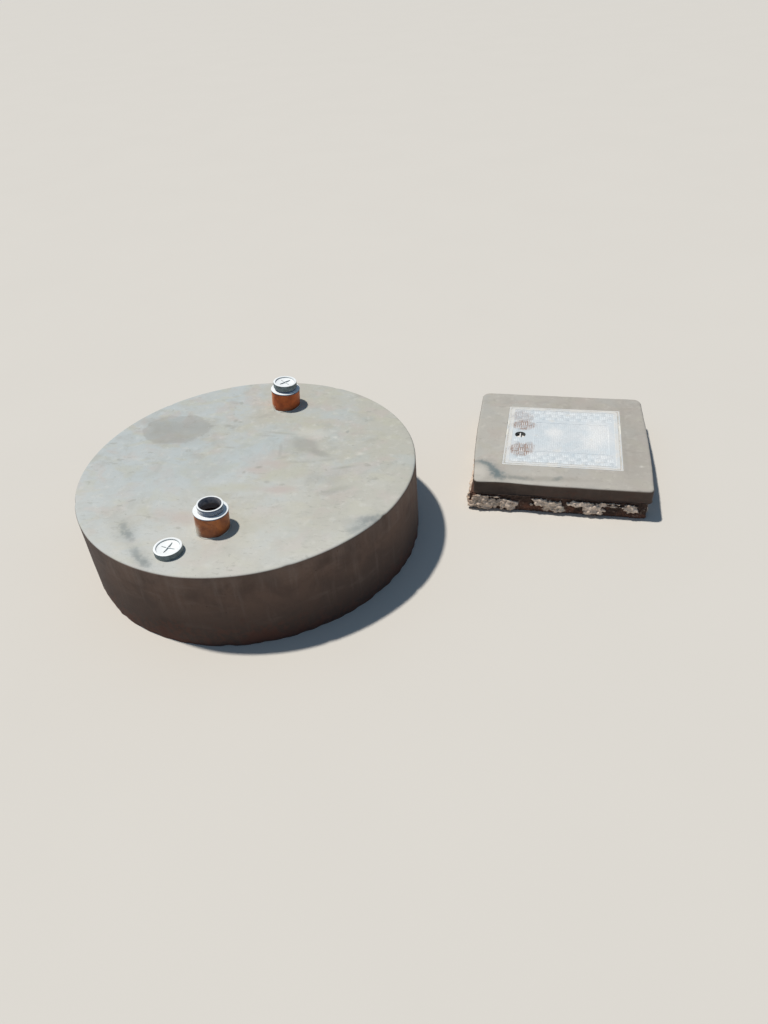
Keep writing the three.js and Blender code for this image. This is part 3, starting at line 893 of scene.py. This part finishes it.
def makeCap(name, cadName, body, place, turn, tilt=Matrix.Identity(4)):
    radius, top, bevel = cap["radius"], cap["height"], cap["bevel"]
    dish = top - cap["dish"]
    ceiling = dish - cap["plate"]
    rimIn = radius - cap["rim"]
    dishIn = rimIn - cap["slope"]
    outline = [
        (0, ceiling), (cap["bore"], ceiling), (cap["bore"], 0), (radius - bevel, 0), (radius, bevel),
        (radius, top - cap["roundOut"]), (radius - cap["roundMid"], top - cap["roundMid"]),
        (radius - cap["roundOut"], top), (rimIn + cap["roundIn"], top), (rimIn, top - cap["roundDrop"]),
        (dishIn, dish + bevel), (dishIn - cap["roundDish"], dish), (0, dish - cap["dishSag"]),
    ]
    bm = spun(outline, cap["ribs"] * 4, closed=False)
    for vert in bm.verts:
        reach = hypot(*vert.co.xy)
        if reach > radius - cap["ribSide"] and vert.co.z < top - cap["ribTop"]:
            groove = cap["ribDepth"] * (0.5 - 0.5 * cos(cap["ribs"] * atan2(vert.co.y, vert.co.x)))
            pinched(vert, 1 - groove / reach)
    for angle, (breadth, height) in cap["arms"].items():
        joined(bm, capArm(dish, angle, breadth, height))
    piece = pieceFrom(name, placed(bm, place, turn, tilt), capPlastic, 38.0)
    assign(piece, body, "grey_upvc", cadName)


looseCap = Vector((*middleOf("loose_screw_cap").xy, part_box("loose_screw_cap")[0][2]))
capRest = farRiser + leanAxis * (fittingTop + cap["seat"] - cap["inside"])
makeCap("farScrewCap", "far_screw_cap", "cap", capRest, 54, leanTurn)
makeCap("looseScrewCap", "loose_screw_cap", "plant", looseCap, 81)
print("caps done")


# Collar of the access chamber: cement shaped by hand, smeared over the frame's edge. Its outline runs by
# the corners, each a place from the chamber's middle and a radius, and a bow follows a corner in that form
# where a side bends. A dent is its place, its reach and its depth.
collar = dict(
    arris=0.011, voxel=0.004, lap=0.002, lapRise=0.0012, lapFade=0.016, lapNoise=0.0034, wave=0.0032,
    waveSize=0.11, sink=0.0022, ripple=0.001, rippleSize=0.03, fold=0.004, foldTop=0.03, foldSize=0.016,
    foldStretch=(0.3, 0.3, 2.2), cornerSteps=8, arrisSteps=4, cut=0.1,
    corners=[(-0.314, -0.331, 0.022), (0.339, -0.331, 0.022), (0.326, 0.337, 0.034), (-0.341, 0.343, 0.034)],
    bows={1: (0.3435, -0.08, 0.12), 3: (-0.336, -0.06, 0.12)},
    dents=[(-0.2, -0.33, 0.06, 0.01), (0.185, 0.337, 0.05, 0.009)],
)


def makeCollar():
    low, high = cornersOf("chamber_collar")
    frameLow, frameHigh = cornersOf("manhole_frame")
    bm = bmesh.new()
    turns = []
    for number, corner in enumerate(collar["corners"]):
        turns.append(corner)
        if number in collar["bows"]:
            turns.append(collar["bows"][number])
    places = [chamberCentre + Vector((x, y, low.z)) for x, y, _ in turns]
    raised(bm, [bm.faces.new([bm.verts.new(place) for place in places])], high.z - low.z)
    outwards(bm)
    for place, (_, _, radius) in zip(places, turns):
        upright = [edge for edge in bm.edges if abs(edge.verts[0].co.z - edge.verts[1].co.z) > 0.01
                   and (edge.verts[0].co.xy - place.xy).length < 1e-5]
        bevelled(bm, upright, radius, collar["cornerSteps"])
    rim = [edge for edge in bm.edges if all(vert.co.z > high.z - 1e-6 for vert in edge.verts)]
    bevelled(bm, rim, collar["arris"], collar["arrisSteps"])
    piece = pieceFrom("chamberCollar", bm, collarCement, 80.0)
    lap = Vector((collar["lap"], collar["lap"], 0))
    cut = Vector((0, 0, collar["cut"]))
    carve(piece, boxBetween(frameLow + lap - cut, frameHigh - lap + cut))
    centre = (frameLow + frameHigh) / 2
    half = (frameHigh - frameLow) / 2

    def shape(point, normal):
        start = point.copy()
        away = max(abs(point.x - centre.x) - half.x, abs(point.y - centre.y) - half.y)
        if away > collar["lapFade"]:
            height = start.z - low.z
            wave = collar["wave"] * swell(start, collar["waveSize"], 2.0)
            for x, y, reach, depth in collar["dents"]:
                far = (start.xy - chamberCentre.xy - Vector((x, y))).length / reach
                wave += depth * exp(-far * far) * min(1.0, height / collar["foldTop"])
            drawn = Vector(value * share for value, share in zip(start, collar["foldStretch"]))
            fold = clamped(0.5 + 0.8 * lumps(drawn, collar["foldSize"], 4.0))
            fold *= collar["fold"] * max(0.0, 1 - height / collar["foldTop"])
            ripple = collar["ripple"] * swell(start, collar["rippleSize"], 6.0)
            point -= normal * (max(0.0, 1 - abs(normal.z)) * (wave + fold) + ripple)
        sink = collar["sink"] * swell(start, collar["waveSize"], 12.0)
        near = clamped(1 - away / collar["lapFade"])
        point.z += max(0.0, normal.z) * (near * near * collar["lapRise"] - (1 - near) * sink)
        if away < collar["lap"] * 0.3:
            ragged = collar["lapNoise"] * (lumps(start, 0.03, 9.0) + 0.5 * lumps(start, 0.011, 3.0))
            point.x += normal.x * ragged
            point.y += normal.y * ragged
        return point

    remodel(piece, collar["voxel"], shape, 80.0)
    assign(piece, "plant", "collar_concrete", "chamber_collar")


makeCollar()


# Rough mortar round the chamber's foot: a thin skim on the wall, with heaps of lumps and with flat ridges
# pressed out under the collar. A heap is its place along the side from 0 to 1, half its length, its lowest
# and highest point and how far it stands out; a ridge is its place, half its length, height and reach.
rough = dict(
    voxel=0.0026, skim=0.003, inWall=0.004, wave=0.0044, waveSize=0.012, grit=0.0026, gritSize=0.0055,
    small=0.0046, big=0.014, flat=0.72, spacing=0.0046, ridge=0.004, ridgeParts=4, ridgeJitter=0.004, seed=5,
    standFrom=0.005, standFull=0.012, above=0.007, endClear=0.01,
)
heaps = dict(
    front=[(0.055, 0.03, 0.004, 0.066, 0.026), (0.115, 0.03, 0.0, 0.052, 0.024),
           (0.205, 0.04, 0.002, 0.056, 0.022), (0.405, 0.034, 0.032, 0.066, 0.021),
           (0.48, 0.032, 0.006, 0.06, 0.024), (0.625, 0.034, 0.034, 0.066, 0.021),
           (0.7, 0.036, 0.008, 0.06, 0.024), (0.905, 0.02, 0.022, 0.066, 0.02)],
    back=[(0.08, 0.04, 0.0, 0.06, 0.022), (0.34, 0.05, 0.0, 0.05, 0.02),
          (0.61, 0.04, 0.0, 0.062, 0.023), (0.84, 0.03, 0.0, 0.055, 0.022)],
    left=[(0.05, 0.036, 0.0, 0.066, 0.025), (0.16, 0.04, 0.0, 0.058, 0.024),
          (0.3, 0.036, 0.0, 0.05, 0.02), (0.45, 0.04, 0.0, 0.062, 0.024),
          (0.58, 0.03, 0.0, 0.045, 0.019), (0.72, 0.04, 0.0, 0.056, 0.022),
          (0.86, 0.036, 0.0, 0.062, 0.024), (0.95, 0.026, 0.0, 0.05, 0.022)],
    right=[(0.1, 0.03, 0.0, 0.052, 0.02), (0.36, 0.04, 0.0, 0.058, 0.022),
           (0.62, 0.03, 0.0, 0.05, 0.021), (0.86, 0.036, 0.0, 0.056, 0.021)],
)
ridges = dict(
    front=[(0.1, 0.05, 0.062, 0.02), (0.395, 0.03, 0.06, 0.018), (0.44, 0.026, 0.05, 0.019),
           (0.645, 0.036, 0.06, 0.019), (0.7, 0.024, 0.048, 0.018), (0.785, 0.036, 0.063, 0.019),
           (0.8, 0.038, 0.05, 0.018), (0.885, 0.016, 0.06, 0.02)],
    back=[(0.2, 0.04, 0.058, 0.018), (0.48, 0.04, 0.054, 0.019), (0.72, 0.03, 0.06, 0.018)],
    left=[(0.25, 0.04, 0.06, 0.019), (0.52, 0.04, 0.056, 0.018), (0.79, 0.03, 0.06, 0.019)],
    right=[(0.22, 0.04, 0.058, 0.018), (0.5, 0.05, 0.06, 0.018), (0.75, 0.03, 0.055, 0.018)],
)


def addLump(bm, centre, along, outward, sizes):
    axes = Matrix((along * sizes[0], outward * sizes[1], Vector((0, 0, sizes[2])))).transposed().to_4x4()
    if axes.determinant() < 0:
        axes = axes @ Matrix.Diagonal((-1, 1, 1, 1))
    bmesh.ops.create_icosphere(bm, subdivisions=2, radius=1.0, matrix=Matrix.Translation(centre) @ axes)


def makeFoot(side, outward):
    cadName = "mortar_foot_" + side
    low, high = cornersOf(cadName)
    along = Vector((abs(outward.y), abs(outward.x), 0))
    span = high - low
    length = span.dot(along)
    start = Vector((low.x if outward.x >= 0 else high.x, low.y if outward.y >= 0 else high.y, 0))
    ends = along * (rough["endClear"] * abs(outward.y))  # front and back stop near the wall's corners
    above = Vector((0, 0, rough["above"]))
    corners = [start + ends - outward * rough["inWall"],
               start - ends + outward * rough["skim"] + along * length + Vector((0, 0, span.z)) + above]
    bm = boxBetween([min(pair) for pair in zip(*corners)], [max(pair) for pair in zip(*corners)])
    draw = random.Random(rough["seed"] + len(side)).random
    for place, half, lowest, highest, reach in heaps[side]:
        count = int(half * (highest - lowest) / rough["spacing"] ** 2 / 2)
        for _ in range(count):
            aside, up, out, grow = (draw() for _ in range(4))
            aside = 2 * aside - 1
            size = rough["small"] + (rough["big"] - rough["small"]) * grow * grow
            rise = lowest + size * 0.6 + (highest - lowest - size * 1.2) * up
            stretch = 1.2 + 0.5 * draw()
            far = (reach - size * 0.9) * (1 - 0.6 * aside * aside) * (0.45 + 0.55 * out)
            far *= 1 - 0.45 * up * up
            centre = start + along * (length * place + half * aside) + outward * far + Vector((0, 0, rise))
            addLump(bm, centre, along, outward, (size * stretch, size, size * rough["flat"]))
    for place, half, height, reach in ridges[side]:
        for part in range(rough["ridgeParts"]):
            aside = (part - (rough["ridgeParts"] - 1) / 2) / 2 * half + rough["ridgeJitter"] * draw()
            rise = height + rough["ridgeJitter"] * (draw() - 0.5)
            centre = start + along * (length * place + aside) + Vector((0, 0, rise))
            thick = rough["ridge"] * (0.7 + 0.5 * draw())
            addLump(bm, centre, along, outward, (half * 0.42, reach * (0.75 + 0.25 * draw()), thick))
    piece = pieceFrom(side + "FootMortar", bm, roughMortar, 180.0)
    inwards = -outward * rough["inWall"]
    least = [min(value, value + more) for value, more in zip(low, inwards)]
    most = [max(value, value + more) for value, more in zip(high + above, inwards)]

    def shape(point, normal):
        wave = rough["wave"] * (lumps(point, rough["waveSize"], 8.0) - 0.35)
        wave += rough["grit"] * lumps(point, rough["gritSize"], 3.0)
        return Vector([max(a, min(b, value)) for value, a, b in zip(point + normal * wave, least, most)])

    def standing(point):
        away = (point - start).dot(outward) - rough["standFrom"]
        return clamped(away / (rough["standFull"] - rough["standFrom"]))

    remodel(piece, rough["voxel"], shape, 180.0)
    marked(piece, "stand", standing)
    assign(piece, "plant", "rough_mortar", cadName)


for side, outward in dict(front=(0, -1, 0), back=(0, 1, 0), left=(-1, 0, 0), right=(1, 0, 0)).items():
    makeFoot(side, Vector(outward))
    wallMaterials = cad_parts[f"chamber_wall_{side}"].data.materials
    wallMaterials.clear()
    wallMaterials.append(roughMortar)
print("chamber done")


# Manhole frame: an angle ring, drawn as two strips of one plate and then raised.
manhole = dict(
    wall=0.005, ledge=0.02, ledgeThickness=0.005, edge=0.0007, corner=0.005, cornerSteps=4, skirt=0.003,
    plate=0.004, plateEdge=0.0008, cupBelow=0.009, eyeRadius=0.021, eyeDepth=0.014, eyeWall=0.0015,
    eyeCorner=0.002, eyeSteps=64, barSteps=24, barEdge=0.0006,
)


def makeFrame():
    low, high = cornersOf("manhole_frame")

    def inWall(face):
        x, y, _ = face.calc_center_median()
        return min(x - low.x, high.x - x, y - low.y, high.y - y) < manhole["wall"]

    bm = flatPlate(low, high, low.z)
    middle = bm.faces[:]
    inset(bm, middle, manhole["wall"], True)
    inset(bm, middle, manhole["ledge"] - manhole["wall"])
    bmesh.ops.delete(bm, geom=middle, context="FACES")
    outer = [face for face in raised(bm, bm.faces[:], manhole["ledgeThickness"]) if inWall(face)]
    raised(bm, outer, high.z - low.z - manhole["ledgeThickness"])
    bmesh.ops.delete(bm, geom=[face for face in outer if face.is_valid], context="FACES_ONLY")
    piece = pieceFrom("manholeFrame", outwards(bm), galvanised)
    edged(piece, manhole["edge"])
    assign(piece, "plant", "galvanised_steel", "manhole_frame")


makeFrame()


# Sand and cement dust that has packed the gap between the frame and the cover.
packing = dict(play=0.0003, below=0.0005, uneven=0.0005, unevenSize=0.012, cuts=110)


def makePacking():
    low, high = cornersOf("manhole_frame")
    coverLow = cornersOf("manhole_cover")[0]
    inside = Vector((manhole["wall"] + packing["play"],) * 2 + (0,))
    width = coverLow.x - low.x - inside.x - packing["play"]
    bm = flatPlate(low + inside, high - inside, low.z + manhole["ledgeThickness"] + packing["play"])
    stripOf(bm, width)
    lengthways = [edge for edge in bm.edges if edge.calc_length() > 0.1]
    bmesh.ops.subdivide_edges(bm, edges=lengthways, cuts=packing["cuts"], use_grid_fill=True)
    top = high.z - packing["below"]
    raised(bm, bm.faces[:], top - low.z)
    for vert in outwards(bm).verts:
        if vert.co.z > coverLow.z + 0.01:
            vert.co.z = top + packing["uneven"] * lumps(vert.co, packing["unevenSize"], 1.0)
    piece = pieceFrom("gapPacking", bm, packedCement, 60.0)
    assign(piece, "plant", "collar_concrete")


makePacking()


# Cover: a plate with turned-down edges and a sunk lifting eye.
def makeCoverPlate():
    low, high = cornersOf("manhole_cover")
    depth = high.z - low.z - manhole["cupBelow"]
    bm = flatPlate(low, high, high.z)
    bevelled(bm, bm.verts[:], manhole["corner"], manhole["cornerSteps"], "VERTICES")
    raised(bm, bm.faces[:], -depth)
    under = min(outwards(bm).faces, key=lambda face: face.calc_center_median().z)
    inset(bm, [under], manhole["skirt"])
    pocket = raised(bm, [under], depth - manhole["plate"])
    if under.is_valid and under not in pocket:
        bmesh.ops.delete(bm, geom=[under], context="FACES_ONLY")
    piece = pieceFrom("manholeCover", outwards(bm), galvanised)
    eye = (*eyeCentre.xy, 0)
    radius, wall, corner = manhole["eyeRadius"], manhole["eyeWall"], manhole["eyeCorner"]
    floor = high.z - manhole["eyeDepth"]
    carve(piece, placed(peg(radius + wall, floor - wall, high.z - 0.001, manhole["eyeSteps"]), eye), "UNION")
    hole = spun([(0, floor), (radius - corner, floor), (radius, floor + corner), (radius, high.z + 0.01),
                 (0, high.z + 0.01)], manhole["eyeSteps"], closed=False)
    carve(piece, placed(hole, eye))
    soften(piece, 35.0)
    edged(piece, manhole["plateEdge"])
    assign(piece, "cover", "galvanised_steel", "manhole_cover")


# Tread: a basket weave of short bars round a bordered panel of small studs.
tread = dict(
    block=0.024, bars=3, barLength=0.0205, barWidth=0.0046, height=0.0012, taper=0.72, sunk=0.0003,
    margin=0.012, panelLeft=0.1, panelRight=0.036, panelBack=0.106, panelFront=0.09, border=0.003,
    stud=0.0044, studHeight=0.7, studPitch=0.008, studIn=0.01, eyeClear=0.03, bareLow=(-0.01, -0.05),
    bareHigh=(0.052, 0.04), rib=0.0022, ribIn=0.011,
)


def addStud(bm, x, y, z, width, depth, height):
    for vert in bmesh.ops.create_cube(bm, size=1.0)["verts"]:
        high = vert.co.z > 0
        taper = tread["taper"] if high else 1.0
        vert.co = Vector((x + vert.co.x * width * taper, y + vert.co.y * depth * taper,
                          z + (height if high else -tread["sunk"])))


def treadStrip(low, high, top, width):
    strip = flatPlate(low, high, top - tread["sunk"])
    raised(strip, stripOf(strip, width), tread["height"] + tread["sunk"])
    return outwards(strip)


def makeTread():
    low, high = cornersOf("manhole_cover")
    top = high.z
    panelLow = Vector((low.x + tread["panelLeft"], low.y + tread["panelFront"]))
    panelHigh = Vector((high.x - tread["panelRight"], high.y - tread["panelBack"]))
    bm = bmesh.new()
    block, bars = tread["block"], tread["bars"]
    length, width, height = tread["barLength"], tread["barWidth"], tread["height"]
    columns = int((high.x - low.x - 2 * tread["margin"]) / block)
    rows = int((high.y - low.y - 2 * tread["margin"]) / block)
    left = (low.x + high.x - columns * block) / 2
    front = (low.y + high.y - rows * block) / 2

    def isBare(centre):
        def isWithin(low, place, high, clear=0.0):
            return all(a - clear < value < b + clear for a, value, b in zip(low, place, high))

        fromEye = centre - eyeCentre.xy
        return (isWithin(panelLow, centre, panelHigh, tread["border"] + block / 2)
                or isWithin(tread["bareLow"], fromEye, tread["bareHigh"])
                or fromEye.length < tread["eyeClear"])

    for column in range(columns):
        for row in range(rows):
            centre = Vector((left + (column + 0.5) * block, front + (row + 0.5) * block))
            for bar in range(0 if isBare(centre) else bars):
                offset = (bar - (bars - 1) / 2) * (block / bars)
                if (column + row) % 2:
                    addStud(bm, centre.x, centre.y + offset, top, length, width, height)
                else:
                    addStud(bm, centre.x + offset, centre.y, top, width, length, height)
    inside = Vector((tread["studIn"],) * 2)
    size = panelHigh - panelLow - 2 * inside
    across, along = (int(side / tread["studPitch"]) for side in size)
    for column in range(across + 1):
        for row in range(along + 1):
            x = panelLow.x + inside.x + size.x * column / across
            y = panelLow.y + inside.y + size.y * row / along
            addStud(bm, x, y, top, tread["stud"], tread["stud"], height * tread["studHeight"])
    outside = Vector((tread["ribIn"],) * 2)
    border = treadStrip(panelLow, panelHigh, top, tread["border"])
    joined(border, treadStrip(low.xy + outside, high.xy - outside, top, tread["rib"]))
    assign(pieceFrom("coverBorder", border, galvanised, 30.0), "cover", "galvanised_steel")
    assign(pieceFrom("coverTread", outwards(bm), galvanised, 30.0), "cover", "galvanised_steel")


def makeBar():
    low, high = cornersOf("lifting_bar")
    radius = (high.x - low.x) / 2
    bm = bmesh.new()
    bmesh.ops.create_cone(bm, cap_ends=True, segments=manhole["barSteps"], radius1=radius, radius2=radius,
                          depth=high.y - low.y)
    bmesh.ops.rotate(bm, cent=(0, 0, 0), matrix=Matrix.Rotation(pi / 2, 3, "X"), verts=bm.verts[:])
    piece = pieceFrom("liftingBar", placed(bm, eyeCentre), galvanised)
    edged(piece, manhole["barEdge"])
    assign(piece, "cover", "galvanised_steel", "lifting_bar")


makeCoverPlate()
makeTread()
makeBar()
print("manhole done")


# Floor, light and camera.
studio = dict(
    floor=40.0, floorTone=paint(212, 209, 203), floorShade=0.97, floorRough=0.9, world=0.25,
    worldTone=(0.5, 0.72, 1.0, 1.0), sun=3.3, sunTone=(1.0, 0.935, 0.85), sunAngle=3.0,
    sunFrom=(-0.34, 0.07, 0.94),
)


def floorCoat(where):
    tone = studio["floorTone"]
    darker = (*(studio["floorShade"] * value for value in tone[:3]), 1.0)
    return mixed(cloud(where, 1.5, 4.0), tone, darker), studio["floorRough"], []


def makeFloor():
    bm = bmesh.new()
    bmesh.ops.create_grid(bm, x_segments=8, y_segments=8, size=studio["floor"])
    floor = pieceFrom("studioFloor", bm, materialFrom("studio floor", floorCoat))


def makeLight():
    world = bpy.data.worlds.new("studio")
    world.use_nodes = True
    sky = world.node_tree.nodes["Background"].inputs
    sky["Color"].default_value = studio["worldTone"]
    sky["Strength"].default_value = studio["world"]
    scene.world = world
    sun = bpy.data.lights.new("key light", "SUN")
    sun.energy = studio["sun"]
    sun.angle = radians(studio["sunAngle"])
    sun.color = studio["sunTone"]
    light = bpy.data.objects.new("key light", sun)
    light.rotation_euler = Vector(studio["sunFrom"]).to_track_quat("Z", "Y").to_euler()
    scene.collection.objects.link(light)


# The camera stands where the photograph was taken, measured from the tank's centre and the slab's top.
view = dict(place=(1.0288, -2.1141, 1.5142), heading=14.35, pitch=37.78, roll=-4.734, focalPixels=767.0,
            framePixels=1024.0, sensor=36.0, clip=200.0)


def makeCamera():
    camera = bpy.data.cameras.new("photo camera")
    camera.sensor_width = view["sensor"]
    camera.sensor_fit = "AUTO"
    camera.lens = view["sensor"] * view["focalPixels"] / view["framePixels"]
    camera.clip_end = view["clip"]
    holder = bpy.data.objects.new("photo camera", camera)
    scene.collection.objects.link(holder)
    x, y, z = view["place"]
    matrix = Matrix.Translation((tankCentre.x + x, tankCentre.y + y, slabTop + z))
    for angle, axis in ((view["heading"], "Z"), (90 - view["pitch"], "X"), (view["roll"], "Z")):
        matrix = matrix @ Matrix.Rotation(radians(angle), 4, axis)
    holder.matrix_world = matrix
    scene.camera = holder


makeFloor()
makeLight()
makeCamera()
scene.view_settings.view_transform = "Standard"
print("studio done")
